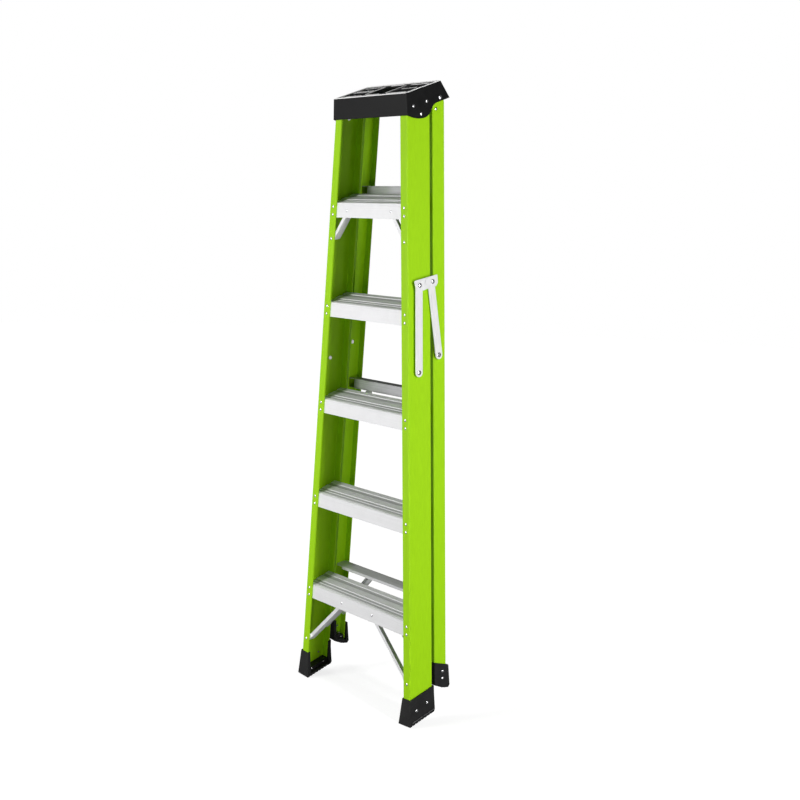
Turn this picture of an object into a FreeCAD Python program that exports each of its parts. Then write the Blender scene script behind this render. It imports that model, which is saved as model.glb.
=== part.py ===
import FreeCAD, Part
import math, os

V = FreeCAD.Vector
os.makedirs("parts", exist_ok=True)

# ---------------------------------------------------------------- dimensions
# Folding step ladder, standing closed.  Millimetres.  X across, +Y to the
# back, +Z up.  The model is drawn in a working frame whose z = 0 is the upper
# rivet of the lowest step and whose y = 0 is the front face of the front
# rails; it is moved to the stored origin when it is written.
PITCH = 304.8            # step spacing along the front rail (12 in)
N_STEPS = 5
W0 = 261.8               # half width to the web's outer face at z = 0
TAPER = 0.062            # half width lost per mm of height
ALPHA = math.degrees(math.atan(TAPER))
COSA, SINA = math.cos(math.radians(ALPHA)), math.sin(math.radians(ALPHA))

F_DEPTH = 85.4           # front rail channel depth
F_FLANGE = 30.0          # front rail flange width
F_T = 3.8                # front rail wall
F_TOP = 1529.0
F_BOT = -288.0
R_Y0, R_Y1 = 99.8, 145.3  # rear rail, front and rear faces
R_OFF = 5.0              # rear rail web is this far inside the front web plane
R_FLANGE = 26.0          # rear flange
R_FLANGE_F = 14.0        # front flange, narrower
R_T = 3.5
R_BOT = -196.0

RIV_IN = 15.6            # step rivets, in from the rail's outer face
RIV_GAP = 23.8           # between the two rivets of one step end
RIV_R = 2.6              # rivet shank
HOLE_R = 2.7
HEAD_R = 4.6
HEAD_H = 1.7

STEP_T = 2.0             # tread and skirt wall
SK_TOP, SK_BOT = 10.5, -33.3      # front skirt, from the upper rivet
RE_TOP, RE_BOT = 41.0, -2.8       # rear skirt

HINGE = (119.4, 1538.2)  # fold axis (y, z)
HINGE_R = 4.0
FOLD = 33.43             # degrees from closed to open

# spreader pivots (y, z) when closed
P1 = (32.6, 748.2)
PA = (33.9, 999.6)
PB = (82.6, 1010.8)
P2 = (112.6, 796.8)
ARM_W = 26.0
ARM_T = 2.0
L_REAR, L_FRONT, L_LINK = 3.6, 8.2, 11.8   # inner face of each layer, from the web
PIV_R = 4.0

CAP_WALL = 6.0

# origin of the stored frame in the working frame
ORG = V(0, 0, 0)         # set after everything is drawn

shapes = {}


def w(z):
    return W0 - TAPER * z


# ------------------------------------------------------------------ helpers
def rail(s):
    """rail frame (x out of the web, y back, z along the rail) -> right side"""
    s = s.copy()
    s.rotate(V(0, 0, 0), V(0, 1, 0), -ALPHA)
    s.translate(V(W0, 0, 0))
    return s


def railp(x, y, z):
    return V(W0 + x * COSA - z * SINA, y, x * SINA + z * COSA)


def zr(z):
    """height z on the web's outer face -> distance along the rail"""
    return z / COSA


def mir(s):
    return s.mirror(V(0, 0, 0), V(1, 0, 0))


def box(x0, x1, y0, y1, z0, z1):
    return Part.makeBox(x1 - x0, y1 - y0, z1 - z0, V(x0, y0, z0))


def poly_prism_yz(pts, x0, x1):
    f = Part.Face(Part.makePolygon([V(x0, a, b) for a, b in pts + pts[:1]]))
    return f.extrude(V(x1 - x0, 0, 0))


def poly_prism_xz(pts, y0, y1):
    f = Part.Face(Part.makePolygon([V(a, y0, b) for a, b in pts + pts[:1]]))
    return f.extrude(V(0, y1 - y0, 0))


def fuse(parts):
    s = parts[0]
    if len(parts) > 1:
        s = s.multiFuse(parts[1:])
    return s.removeSplitter()


def envelope(off, z0, z1, y0=-60, y1=220):
    """everything between the two web planes moved outwards by off"""
    e = off / COSA
    return poly_prism_xz([(-w(z0) - e, z0), (w(z0) + e, z0), (w(z1) + e, z1), (-w(z1) - e, z1)], y0, y1)


def channel(y0, y1, off, flange, t, zb, zt, ro=4.0, ri=2.0):
    """C-channel in the rail frame, web outside, flanges pointing in"""
    o = box(-off - flange, -off, y0, y1, zb, zt)
    ed = [e for e in o.Edges if abs(e.Vertexes[0].X + off) < 1e-6 and abs(e.Vertexes[1].X + off) < 1e-6
          and abs(e.Vertexes[0].Y - e.Vertexes[1].Y) < 1e-6]
    o = o.makeFillet(ro, ed)
    i = box(-off - flange - 5, -off - t, y0 + t, y1 - t, zb - 5, zt + 5)
    ed = [e for e in i.Edges if abs(e.Vertexes[0].X + off + t) < 1e-6 and abs(e.Vertexes[1].X + off + t) < 1e-6
          and abs(e.Vertexes[0].Y - e.Vertexes[1].Y) < 1e-6]
    i = i.makeFillet(ri, ed)
    return o.cut(i)


def dome(p, d, r, h):
    """shallow rivet head: base circle at p, rising along d"""
    R = (r * r + h * h) / (2 * h)
    d = V(d); d.normalize()
    sph = Part.makeSphere(R, p + d * (h - R))
    cyl = Part.makeCylinder(r, h + 1, p, d)
    return sph.common(cyl)


def rivet(p, d, grip, r=RIV_R, hr=HEAD_R, hh=HEAD_H, tail=0.8):
    """rivet from p along d through grip; dome head at p side, flat tail beyond"""
    d = V(d); d.normalize()
    parts = [Part.makeCylinder(r, grip, p, d), dome(p, d * -1, hr, hh)]
    if tail:
        parts.append(Part.makeCylinder(hr * tail, 1.2, p + d * grip, d))
    return fuse(parts)


holes = {}


def drill(node, p, d, length, r=HOLE_R):
    d = V(d); d.normalize()
    holes.setdefault(node, []).append(Part.makeCylinder(r, length, p, d))


def obround(a, b, r, y0, y1):
    """flat bar outline from a to b (x, z), in the y range"""
    A, B = V(a[0], y0, a[1]), V(b[0], y0, b[1])
    L = (B - A).Length
    s = (B - A); s.normalize()
    q = s.cross(V(0, 1, 0))
    pr = [A + q * r, B + q * r, B - q * r, A - q * r]
    bar = Part.Face(Part.makePolygon(pr + pr[:1])).extrude(V(0, y1 - y0, 0))
    return fuse([bar, Part.makeCylinder(r, y1 - y0, A, V(0, 1, 0)), Part.makeCylinder(r, y1 - y0, B, V(0, 1, 0))])


def brace(a, b, width, t, ya, yb, dy, leg, j0, j1, trim=22.0, face=0.0):
    """strap from a to b (x, z).  Its contact face lies at ya at a and at yb at
    b, with a joggle between distances j0 and j1, and it is t thick towards dy.
    Two legs stiffen the middle, so it is a shallow channel; with a face width
    given it is an angle instead: a narrow face and one deep leg underneath."""
    A, B = V(a[0], 0, a[1]), V(b[0], 0, b[1])
    L = (B - A).Length
    s = (B - A); s.normalize()
    q = s.cross(V(0, 1, 0))
    e = width / 2.0
    prof = [(-e, ya), (j0, ya), (j1, yb), (L + e, yb), (L + e, yb + dy * t), (j1, yb + dy * t), (j0, ya + dy * t), (-e, ya + dy * t)]
    base = A - q * e
    pts = [base + s * u + V(0, v, 0) for u, v in prof]
    f = Part.Face(Part.makePolygon(pts + pts[:1]))
    strap = f.extrude(q * width)
    lo, hi = min(ya, yb) - 30, max(ya, yb) + 30
    strap = strap.common(obround(a, b, e, lo, hi))
    if face:
        off = [(12, e + 1), (18, e + 1 - 0.6 * (width - face)), (24, face - e), (L - 24, face - e), (L - 18, e + 1 - 0.6 * (width - face)), (L - 12, e + 1), (L - 12, e + 6), (12, e + 6)]
        pts = [A + s * u + q * v + V(0, lo, 0) for u, v in off]
        strap = strap.cut(Part.Face(Part.makePolygon(pts + pts[:1])).extrude(V(0, hi - lo, 0)))
    legs = []
    for sg in ((-1,) if face else (-1, 1)):
        o = q * (sg * (e - t / 2.0) - t / 2.0)
        tb = 2.0 if face else trim
        pr = [(trim, ya + dy * t * 0.5)]
        if j1 < L - tb:
            pr += [(j0, ya + dy * t * 0.5), (j1, yb + dy * t * 0.5), (L - tb, yb + dy * t * 0.5)]
        else:
            pr += [(L - tb, ya + dy * t * 0.5)]
        ym = (max if dy > 0 else min)(ya, yb) + dy * (t + leg)
        ramp = leg * (0.3 if face else 1.0)
        pr += [(L - tb - ramp, ym), (trim + ramp, ym)]
        pp = [A + o + s * u + V(0, v, 0) for u, v in pr]
        legs.append(Part.Face(Part.makePolygon(pp + pp[:1])).extrude(q * t))
    return fuse([strap] + legs)


X = V(1, 0, 0)
Y = V(0, 1, 0)
Z = V(0, 0, 1)

# -------------------------------------------------------------- front rails
f_rail = channel(0, F_DEPTH, 0, F_FLANGE, F_T, zr(F_BOT - 20), zr(F_TOP), 2.6, 1.6)
# lower end cut to the slope of the foot
SLOPE_F = math.tan(math.radians(18.0))
cutter = poly_prism_yz([(-20, -400), (120, -400), (120, zr(F_BOT) + 120 * SLOPE_F), (-20, zr(F_BOT) - 20 * SLOPE_F)], -60, 20)
f_rail = f_rail.cut(cutter)
front_rail_right = rail(f_rail)
shapes["front_rail_right"] = front_rail_right

# -------------------------------------------------------------------- steps
TL = math.hypot(F_DEPTH - 2 * F_T, RE_TOP - SK_TOP)
ty, tz = (F_DEPTH - 2 * F_T) / TL, (RE_TOP - SK_TOP) / TL      # along the tread
GROOVE = 1.5


def tread_profile():
    """top line of the tread, front to back, as (u, depth below the top line)"""
    g = GROOVE
    return [(0.0, 0), (2.2, 0), (2.6, 0.7), (3.6, 0.7), (4.0, 0), (12.0, 0), (12.8, g), (21.0, g), (21.5, 0.5), (23.0, 0.5), (23.5, g),
            (32.2, g), (33.0, 0), (54.2, 0), (55.0, g), (67.6, g), (68.4, 0), (TL, 0)]


def step_shape(zi):
    y0, y1 = F_T, F_DEPTH - F_T
    top = []
    for u, dpt in tread_profile():
        top.append((y0 + u * ty + dpt * tz, zi + SK_TOP + u * tz - dpt * ty))
    outer = [(y0, zi + SK_BOT), (y0, zi + SK_TOP - 7.0), (y0 + 0.6, zi + SK_TOP - 6.4), (y0 + 0.6, zi + SK_TOP - 5.4), (y0, zi + SK_TOP - 4.8)]
    outer += top
    outer += [(y1, zi + RE_BOT)]
    n = 3.4                                         # tread thickness under the top line
    inner = [(y1 - STEP_T, zi + RE_BOT), (y1 - STEP_T, zi + RE_TOP - n / ty - STEP_T * tz / ty),
             (y0 + STEP_T, zi + SK_TOP - n / ty + STEP_T * tz / ty), (y0 + STEP_T, zi + SK_BOT)]
    xx = w(zi - 60)
    pr = poly_prism_yz(outer + inner, -xx, xx)
    env = envelope(-(F_T + 2.15), zi - 80, zi + 90)
    return pr.common(env)


step_z = [(N_STEPS - 1 - i) * PITCH for i in range(N_STEPS)]
step_rivets = []
for i, zi in enumerate(step_z):
    nm = "step_%d" % (i + 1)
    shapes[nm] = step_shape(zi)
    for dz, back in ((0, 0), (-RIV_GAP, 0), (28.5, 1), (28.5 - RIV_GAP, 1)):
        zl = zr(zi + dz)
        if not back:
            p, d = railp(-RIV_IN, 0, zl), Y
        else:
            p, d = railp(-RIV_IN, F_DEPTH, zl), V(0, -1, 0)
        for sg in (1, -1):
            q = V(sg * p.x, p.y, p.z)
            step_rivets.append(rivet(q, d, F_T + STEP_T))
            drill("front_rail_right" if sg > 0 else "front_rail_left", q - d * 3, d, F_T + 6)
            drill(nm, q - d * 3, d, F_T + 10)

# ------------------------------------------------------------------- braces
brace_rivets = []
BW, BT = 17.0, 2.0
FACE_W, LEG_D = 11.0, 18.0


def add_brace(name, step_node, xa, za, zb, back, tailL=None):
    """right-hand brace from the step skirt at (xa, za) down to the flange at zb"""
    pb = railp(-RIV_IN, 0, zr(zb))
    a, b = (xa, za), (pb.x, pb.z)
    L = math.hypot(b[0] - a[0], b[1] - a[1])
    if not back:
        ya, yb, dy = F_T + STEP_T, F_T, 1
    else:
        ya, yb, dy = F_DEPTH - F_T - STEP_T, F_DEPTH - F_T, -1
    s = brace(a, b, BW, BT, ya, yb, dy, LEG_D, L - 30.0, L - 23.0, 8.0, FACE_W)
    shapes[name + "_right"] = s
    ysk = F_T if not back else F_DEPTH - F_T
    yfl = 0 if not back else F_DEPTH
    d = V(0, dy, 0)
    for sg, side in ((1, "right"), (-1, "left")):
        q = V(sg * a[0], ysk, a[1])
        brace_rivets.append(rivet(q, d, STEP_T + BT, 2.6, 4.4, 1.5))
        drill(step_node, q - d * 3, d, 12)
        drill(name + "_" + side, q - d * 3, d, 12)
        q = V(sg * b[0], yfl, b[1])
        brace_rivets.append(rivet(q, d, F_T + BT))
        drill("front_rail_" + side, q - d * 3, d, 14)
        drill(name + "_" + side, q - d * 3, d, 14)


ZB = -11.3
add_brace("upper_brace", "step_1", 106.4, step_z[0] + ZB, step_z[0] - 97.3, False)
add_brace("lower_front_brace", "step_5", 76.9, step_z[4] + ZB, step_z[4] - 173.3, False)
add_brace("lower_rear_brace", "step_5", 76.9, step_z[4] + 19.0, step_z[4] - 140.0, True)

# ---------------------------------------------------------------- front feet
FT_TOP0, FT_TOP1 = (-2.0, -218.3), (89.4, -189.2)
FT_BOT0, FT_BOT1 = (-6.4, -297.4), (90.6, -266.6)
FT_IN0, FT_IN1 = 33.0, 47.0      # reach inside the web plane, top and bottom
FLOOR = -300.29356406066165      # working height of the floor under the front feet


def front_foot():
    # boot around the rail's end: walls outside, in front and behind, lips
    # around the tips of both flanges, and a sole that spreads inwards
    prof = [FT_TOP0, FT_TOP1, (FT_BOT1[0] + 0.6, FT_BOT1[1] + 6.5), (FT_BOT1[0] - 2.5, FT_BOT1[1] - 0.8), FT_BOT0]
    prof = [(a, zr(b)) for a, b in prof]
    blk = poly_prism_yz(prof, -60, 12)
    side = poly_prism_xz([(-FT_IN1 - 0.3, zr(-310)), (8.6, zr(-310)), (8.0, zr(-298)), (4.2, zr(-212)), (4.0, zr(-150)), (-FT_IN0 + 1, zr(-150)),
                          (-FT_IN0, zr(-212)), (-FT_IN1 + 3.0, zr(-280)), (-FT_IN1, zr(-296))], -20, 120)
    blk = blk.common(side)
    # pocket the rail stands in, open towards the inside between the lips
    zb = zr(F_BOT)
    pocket = poly_prism_yz([(0, zb), (F_DEPTH, zb + F_DEPTH * SLOPE_F), (F_DEPTH, 0), (0, 0)], -F_FLANGE - 0.05, 0)
    blk = blk.cut(pocket)
    ly0, ly1 = F_T + 2.6, F_DEPTH - F_T - 2.6
    hatch = poly_prism_yz([(ly0, zb + ly0 * SLOPE_F + 1), (ly1, zb + ly1 * SLOPE_F + 1), (ly1, 0), (ly0, 0)], -60, -F_FLANGE + 2)
    blk = blk.cut(hatch)
    # block inside the channel that the lower rivets go into
    by0, by1 = F_T + 2.2, F_DEPTH - F_T - 2.2
    plug = poly_prism_yz([(by0, zb + by0 * SLOPE_F - 3), (by1, zb + by1 * SLOPE_F - 3), (by1, zb + by1 * SLOPE_F + 12.5), (by0, zb + by0 * SLOPE_F + 10.5)],
                         -F_FLANGE - 1.0, -F_T)
    blk = fuse([blk, plug])
    # welt along the outer and inner side, just above the tread of the sole
    for x0, x1 in ((5.5, 9.4), (-FT_IN1 - 0.2, -FT_IN1 + 4.2)):
        wl = poly_prism_yz([(a, zr(b)) for a, b in ((FT_BOT0[0] + 5, FT_BOT0[1] + 9.4), (FT_BOT1[0] - 3, FT_BOT1[1] + 8.0), (FT_BOT1[0] - 3, FT_BOT1[1] + 9.6), (FT_BOT0[0] + 5, FT_BOT0[1] + 11.0))], x0, x1)
        blk = fuse([blk, wl])
    # ribs under the sole
    for k in range(7):
        u = 10 + k * 11.5
        yy = FT_BOT0[0] + u
        zz = zr(FT_BOT0[1] + u * (FT_BOT1[1] - FT_BOT0[1]) / (FT_BOT1[0] - FT_BOT0[0]))
        blk = blk.cut(box(-60, 30, yy - 1.5, yy + 1.5, zz - 8, zz + 1.6))
    return blk


shapes["front_foot_right"] = rail(front_foot()).cut(box(0, 400, -50, 200, FLOOR - 20, FLOOR))
foot_rivets = []
for (yy, zz) in ((21.6, -252.5), (62.3, -235.5)):
    zl = zr(zz)
    # outer face of the foot at this height
    of = 4.2 + (8.0 - 4.2) * (-212 - zz) / 86.0
    p = railp(of, yy, zl)
    d = V(-COSA, 0, -SINA)
    grip = of + F_T
    for sg, side in ((1, "right"), (-1, "left")):
        q, dd = V(sg * p.x, p.y, p.z), V(sg * d.x, d.y, d.z)
        foot_rivets.append(rivet(q, dd, grip))
        drill("front_foot_" + side, q - dd * 3, dd, grip + 8)
        drill("front_rail_" + side, q - dd * 3, dd, grip + 8)

# two short rivets in the inside of each boot
for (yy, hgt) in ((20.5, 4.5), (66.0, 6.0)):
    p = railp(-F_FLANGE - 1.0, yy, zr(F_BOT) + yy * SLOPE_F + hgt)
    d = V(COSA, 0, SINA)
    for sg, side in ((1, "right"), (-1, "left")):
        q, dd = V(sg * p.x, p.y, p.z), V(sg * d.x, d.y, d.z)
        foot_rivets.append(rivet(q, dd, 9.0, 1.9, 3.0, 1.1, None))
        drill("front_foot_" + side, q - dd * 3, dd, 12.2, 2.0)

# ------------------------------------------------------------------ top cap
CAP_F0 = (-6.7, 1538.9)      # front top
CAP_R0 = (121.5, 1585.5)     # rear top
CAP_R1 = (156.2, 1540.8)     # rear bottom
CAP_F1 = (-2.9, 1478.2)      # front bottom
ct = math.hypot(CAP_R0[0] - CAP_F0[0], CAP_R0[1] - CAP_F0[1])
cy, cz = (CAP_R0[0] - CAP_F0[0]) / ct, (CAP_R0[1] - CAP_F0[1]) / ct


def wire_yz(x, pts, curve):
    """closed wire: straight through pts, then a smooth curve back to the start"""
    es = []
    for a, b in zip(pts[:-1], pts[1:]):
        es.append(Part.makeLine(V(x, *a), V(x, *b)))
    bs = Part.BSplineCurve()
    bs.interpolate([V(x, *p) for p in [pts[-1]] + curve + [pts[0]]])
    es.append(bs.toShape())
    return Part.Wire(es)


def cap_blank():
    curve = [(97.2, 1516.6), (90.0, 1507.6), (82.5, 1492.8), (69.0, 1479.8), (51.0, 1473.6), (33.0, 1472.4), (12.0, 1474.9)]
    pts = [CAP_F1, CAP_F0, CAP_R0, CAP_R1, (110.2, 1523.6)]
    wr = wire_yz(-220, pts, curve)
    blk = Part.Face(wr).extrude(V(440, 0, 0))
    return blk.common(envelope(CAP_WALL, 1450, 1600))


cap = cap_blank()
WT = 4.0                                   # top wall
ni = (-cz, cy)                             # normal of the top face (y, z)
ia = (CAP_F0[0] + 3.6, CAP_F0[1] + 3.6 * cz / cy - WT / cy)
rl = math.hypot(CAP_R1[0] - CAP_R0[0], CAP_R1[1] - CAP_R0[1])
ry, rz = (CAP_R1[0] - CAP_R0[0]) / rl, (CAP_R1[1] - CAP_R0[1]) / rl
# rear wall inner line, 3.4 mm inside the outer one; where it meets the top's inner line
o1 = (CAP_R0[0] + rz * 3.4, CAP_R0[1] - ry * 3.4)
t0 = (CAP_F0[0] + cz * WT, CAP_F0[1] - cy * WT)
det = cy * (-rz) - cz * (-ry)
bx, bz = o1[0] - t0[0], o1[1] - t0[1]
uu = (bx * (-rz) - bz * (-ry)) / det
ib = (t0[0] + uu * cy, t0[1] + uu * cz)
ic = (o1[0] + ry * (rl + 12), o1[1] + rz * (rl + 12))
inner = poly_prism_yz([(0.0, 1440), (0.0, 1478), (-2.6, CAP_F0[1] - 8), ia, ib, ic, (ic[0], 1440)], -220, 220)
cap = cap.cut(inner.common(envelope(0, 1430, 1600)))
# tool openings, cut straight down


def ob_cut(xc, yc, lx, ly, r):
    b = box(xc - lx / 2, xc + lx / 2, yc - ly / 2, yc + ly / 2, 1500, 1620)
    return b.makeFillet(r, [e for e in b.Edges if abs(e.Vertexes[0].Z - e.Vertexes[1].Z) > 1])


def sy(s):
    return CAP_F0[0] + s * cy


cap_cuts = [ob_cut(-6, sy(72), 74, 84, 12), ob_cut(109, sy(43), 68, 30, 12), ob_cut(109, sy(94), 60, 22, 9),
            ob_cut(-109, sy(94), 60, 22, 9)]
for k in (-1, 0, 1):
    cap_cuts.append(Part.makeCylinder(9.0, 24, V(-112 + k * 27, sy(43) + cz * 12, CAP_F0[1] + 43 * cz - cy * 12), V(0, -cz, cy)))
for c in cap_cuts:
    cap = cap.cut(c)
# stiffening ribs under the top, beside the rails
rib = poly_prism_yz([(0.0, 1500), (-1.0, CAP_F0[1] - 6), ia, (ia[0] + 20, ia[1] + 20 * cz / cy), (ia[0] + 20, ia[1] + 20 * cz / cy - 14), (3, 1500)], -1.5, 1.5)
ribs = []
for xx in (-70, 60):
    r_ = rib.copy(); r_.translate(V(xx, 0, 0))
    ribs.append(r_)
cap = fuse([cap] + ribs)
shapes["top_cap"] = cap

cap_rivets = []
for (yy, zz) in ((20.1, 1505.2), (47.8, 1485.6), (69.6, 1523.5)):
    p = railp(CAP_WALL, yy, zr(zz))
    d = V(-COSA, 0, -SINA)
    for sg, side in ((1, "right"), (-1, "left")):
        q, dd = V(sg * p.x, p.y, p.z), V(sg * d.x, 0, d.z)
        cap_rivets.append(rivet(q, dd, CAP_WALL + F_T, 3.0, 5.2, 2.0, 1.0))
        drill("top_cap", q - dd * 3, dd, CAP_WALL + 8, 3.1)
        drill("front_rail_" + side, q - dd * 3, dd, CAP_WALL + 12, 3.1)
shapes["cap_rivets"] = Part.makeCompound(cap_rivets)

# --------------------------------------------------------------- rear rails
r_rail = channel(R_Y0, R_Y1, R_OFF, R_FLANGE, R_T, zr(R_BOT - 20), zr(HINGE[1] + 24), 2.6, 1.6)
# the upper end is rounded about the hinge so that it turns inside the cap
hy, hz = HINGE[0], zr(HINGE[1])
top_keep = fuse([box(-60, 20, R_Y0 - 5, R_Y1 + 5, -400, hz - 14), Part.makeCylinder(21.0, 80, V(-60, hy, hz), X),
                 poly_prism_yz([(R_Y0, hz - 20), (R_Y1, hz - 20), (R_Y1, hz - 14), (hy + 18.5, hz + 10), (hy - 18.5, hz + 10), (R_Y0, hz - 2)], -60, 20)])
r_rail = r_rail.common(top_keep)
r_rail = r_rail.cut(box(-R_OFF - R_FLANGE - 2, -R_OFF - R_FLANGE_F, R_Y0 - 2, R_Y0 + R_T + 4, -400, 1700))
SLOPE_R = math.tan(math.radians(16.6))
cutter = poly_prism_yz([(60, -400), (200, -400), (200, zr(R_BOT) - (200 - R_Y0) * SLOPE_R), (60, zr(R_BOT) + (R_Y0 - 60) * SLOPE_R)], -80, 20)
r_rail = r_rail.cut(cutter)
shapes["rear_rail_right"] = rail(r_rail)

# hinge plate: stiffener inside the top of each rear rail
hp = box(-R_OFF - R_T - 3.0, -R_OFF - R_T, R_Y0 + R_T + 2.2, R_Y1 - R_T - 2.2, hz - 40, hz + 6)
hp = fuse([hp, Part.makeCylinder(16.0, 3.0, V(-R_OFF - R_T - 3.0, hy, hz), X)])
hp = hp.common(box(-60, 20, R_Y0 + R_T + 2.2, R_Y1 - R_T - 2.2, hz - 70, hz + 16))
shapes["hinge_plate_right"] = rail(hp)
# hinge pin along X, square to the fold axis; washer between cap and rail
XH = w(HINGE[1])
pins, washers = [], []
for sg, side in ((1, "right"), (-1, "left")):
    x_in = XH - R_OFF - R_T - 3.0 - 5.0
    x_out = XH + CAP_WALL + 1.2
    p = V(sg * x_out, HINGE[0], HINGE[1])
    d = V(-sg, 0, 0)
    grip = x_out - x_in
    pin = fuse([Part.makeCylinder(HINGE_R, grip, p, d), dome(p, d * -1, 7.0, 2.6), Part.makeCylinder(7.0, 3.0, p + d * grip, d)])
    pins.append(pin)
    r_ = HINGE_R + 0.06
    drill("top_cap", p - d * 3, d, 16, r_)
    drill("rear_rail_" + side, p - d * 3, d, 40, r_)
    drill("hinge_plate_" + side, p - d * 3, d, 40, r_)
# head seat: the pin is square to X while the cap side leans, so a small flat boss stands on the cap
boss = Part.makeCylinder(9.0, 5.0, V(XH + CAP_WALL + 1.2 - 5.0, HINGE[0], HINGE[1]), X)
cap = fuse([cap, boss, mir(boss)])
shapes["top_cap"] = cap
ws_ = Part.makeCylinder(10.0, 12.0, V(XH - R_OFF + 1.5, HINGE[0], HINGE[1]), X)
ws_ = ws_.common(rail(box(-R_OFF + 0.35, 0.0, 60, 200, hz - 60, hz + 60)))
ws_ = ws_.cut(Part.makeCylinder(HINGE_R + 0.06, 60, V(XH - 30, HINGE[0], HINGE[1]), X))
shapes["hinge_washers"] = Part.makeCompound([ws_, mir(ws_)])
shapes["hinge_pins"] = Part.makeCompound(pins)

rear_rivets = []
# rivet that holds the hinge plate, seen just below the cap
p = railp(-R_OFF, 114.1, zr(1506.1))
d = V(-COSA, 0, -SINA)
for sg, side in ((1, "right"), (-1, "left")):
    q, dd = V(sg * p.x, p.y, p.z), V(sg * d.x, 0, d.z)
    rear_rivets.append(rivet(q, dd, R_T + 3.0, 2.8, 4.8, 1.8))
    drill("rear_rail_" + side, q - dd * 3, dd, 14, 2.9)
    drill("hinge_plate_" + side, q - dd * 3, dd, 14, 2.9)

# -------------------------------------------------------- rear cross bars
BAR_T = 2.0
YI0, YI1 = R_Y0 + R_T, R_Y1 - R_T          # between the flanges


def inside(off, y0=60, y1=200):
    return envelope(-off, -300, 1600, y0, y1)


def cross_bar(ztop, h, notch=46.0):
    """channel with its web to the front and both flanges pointing back"""
    y0 = YI0 + 0.6
    y1 = YI1
    c = [(y0, ztop), (y1, ztop), (y1, ztop - h), (y0, ztop - h)]
    o = poly_prism_yz(c, -280, 280)
    i = poly_prism_yz([(y0 + BAR_T, ztop - BAR_T), (y1 + 5, ztop - BAR_T), (y1 + 5, ztop - h + BAR_T), (y0 + BAR_T, ztop - h + BAR_T)], -290, 290)
    s = o.cut(i)
    # end tabs folded against the rear flanges
    s = s.common(inside(R_OFF + R_T + 2.15))
    tabs = box(-280, 280, y1 - BAR_T, y1, ztop - h, ztop).common(inside(R_OFF + R_T + 2.15)).cut(inside(notch, 60, 200))
    s = fuse([s, tabs])
    # front web notched back so that the bar passes the front flange
    nt = envelope(0, -300, 1600, y0 - 5, y0 + 9.0).cut(envelope(-notch, -300, 1600, y0 - 6, y0 + 10)).common(box(-300, 300, y0 - 5, y0 + 9, ztop - h - 5, ztop - BAR_T))
    return s.cut(nt)


def low_bar(zf, zb, leg, notch=46.0):
    """channel lying flat: web up and leaning to the front, legs down"""
    y0, y1 = YI0 + 0.6, YI1
    o = poly_prism_yz([(y0, zf), (y1, zb), (y1, zb - 26), (y1 - BAR_T, zb - 26), (y1 - BAR_T, zb - BAR_T - 0.1), (y0 + BAR_T, zf - BAR_T), (y0 + BAR_T, zf - leg), (y0, zf - leg)], -280, 280)
    s = o.common(inside(R_OFF + R_T + 2.15))
    nt = envelope(0, -300, 1600, y0 - 5, y0 + 9.0).cut(envelope(-notch, -300, 1600, y0 - 6, y0 + 10)).common(box(-300, 300, y0 - 5, y0 + 9, zf - leg - 5, zf - BAR_T))
    return s.cut(nt)


BARS = {"rear_bar_top": (1285.0, 31.0), "rear_bar_middle": (682.5, 31.0)}
for nm, (zt, h) in BARS.items():
    shapes[nm] = cross_bar(zt, h)
    for dz in (-8.5, -22.5):
        p = railp(-R_OFF - 14.0, R_Y1, zr(zt + dz))
        for sg, side in ((1, "right"), (-1, "left")):
            q = V(sg * p.x, p.y, p.z)
            rear_rivets.append(rivet(q, V(0, -1, 0), R_T + BAR_T))
            drill("rear_rail_" + side, q + V(0, 3, 0), V(0, -1, 0), 12)
            drill(nm, q + V(0, 3, 0), V(0, -1, 0), 12)
ZLF, ZLB = 62.0, 69.0
shapes["rear_bar_bottom"] = low_bar(ZLF, ZLB, 9.0)
for dz in (-9.0, -19.0):
    p = railp(-R_OFF - 14.0, R_Y1, zr(ZLB + dz))
    for sg, side in ((1, "right"), (-1, "left")):
        q = V(sg * p.x, p.y, p.z)
        rear_rivets.append(rivet(q, V(0, -1, 0), R_T + BAR_T, 2.4, 3.9, 1.5))
        drill("rear_rail_" + side, q + V(0, 3, 0), V(0, -1, 0), 12, 2.5)
        drill("rear_bar_bottom", q + V(0, 3, 0), V(0, -1, 0), 12, 2.5)

# diagonal braces of the lower bar, and short knee braces of the other two


def rear_brace(name, bar, xa, za, zb, y_in):
    """from the back of a bar at (xa, za) down to the rear flange at zb"""
    pb = railp(-R_OFF - 15.8, 0, zr(zb))
    a, b = (xa, za), (pb.x, pb.z)
    L = math.hypot(b[0] - a[0], b[1] - a[1])
    s = brace(a, b, 20.0, 2.0, y_in, YI1, -1, 9.0, L - 34.0, L - 26.0, 20.0)
    shapes[name + "_right"] = s
    for sg, side in ((1, "right"), (-1, "left")):
        q = V(sg * b[0], R_Y1, b[1])
        rear_rivets.append(rivet(q, V(0, -1, 0), R_T + 2.0))
        drill("rear_rail_" + side, q + V(0, 3, 0), V(0, -1, 0), 12)
        drill(name + "_" + side, q + V(0, 3, 0), V(0, -1, 0), 12)
        q = V(sg * a[0], y_in + BAR_T, a[1])
        rear_rivets.append(rivet(q, V(0, -1, 0), BAR_T + 2.0))
        drill(bar, q + V(0, 3, 0), V(0, -1, 0), 12)
        drill(name + "_" + side, q + V(0, 3, 0), V(0, -1, 0), 12)


rear_brace("rear_diagonal", "rear_bar_bottom", 92.0, 55.0, -104.0, YI1 - BAR_T)

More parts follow.
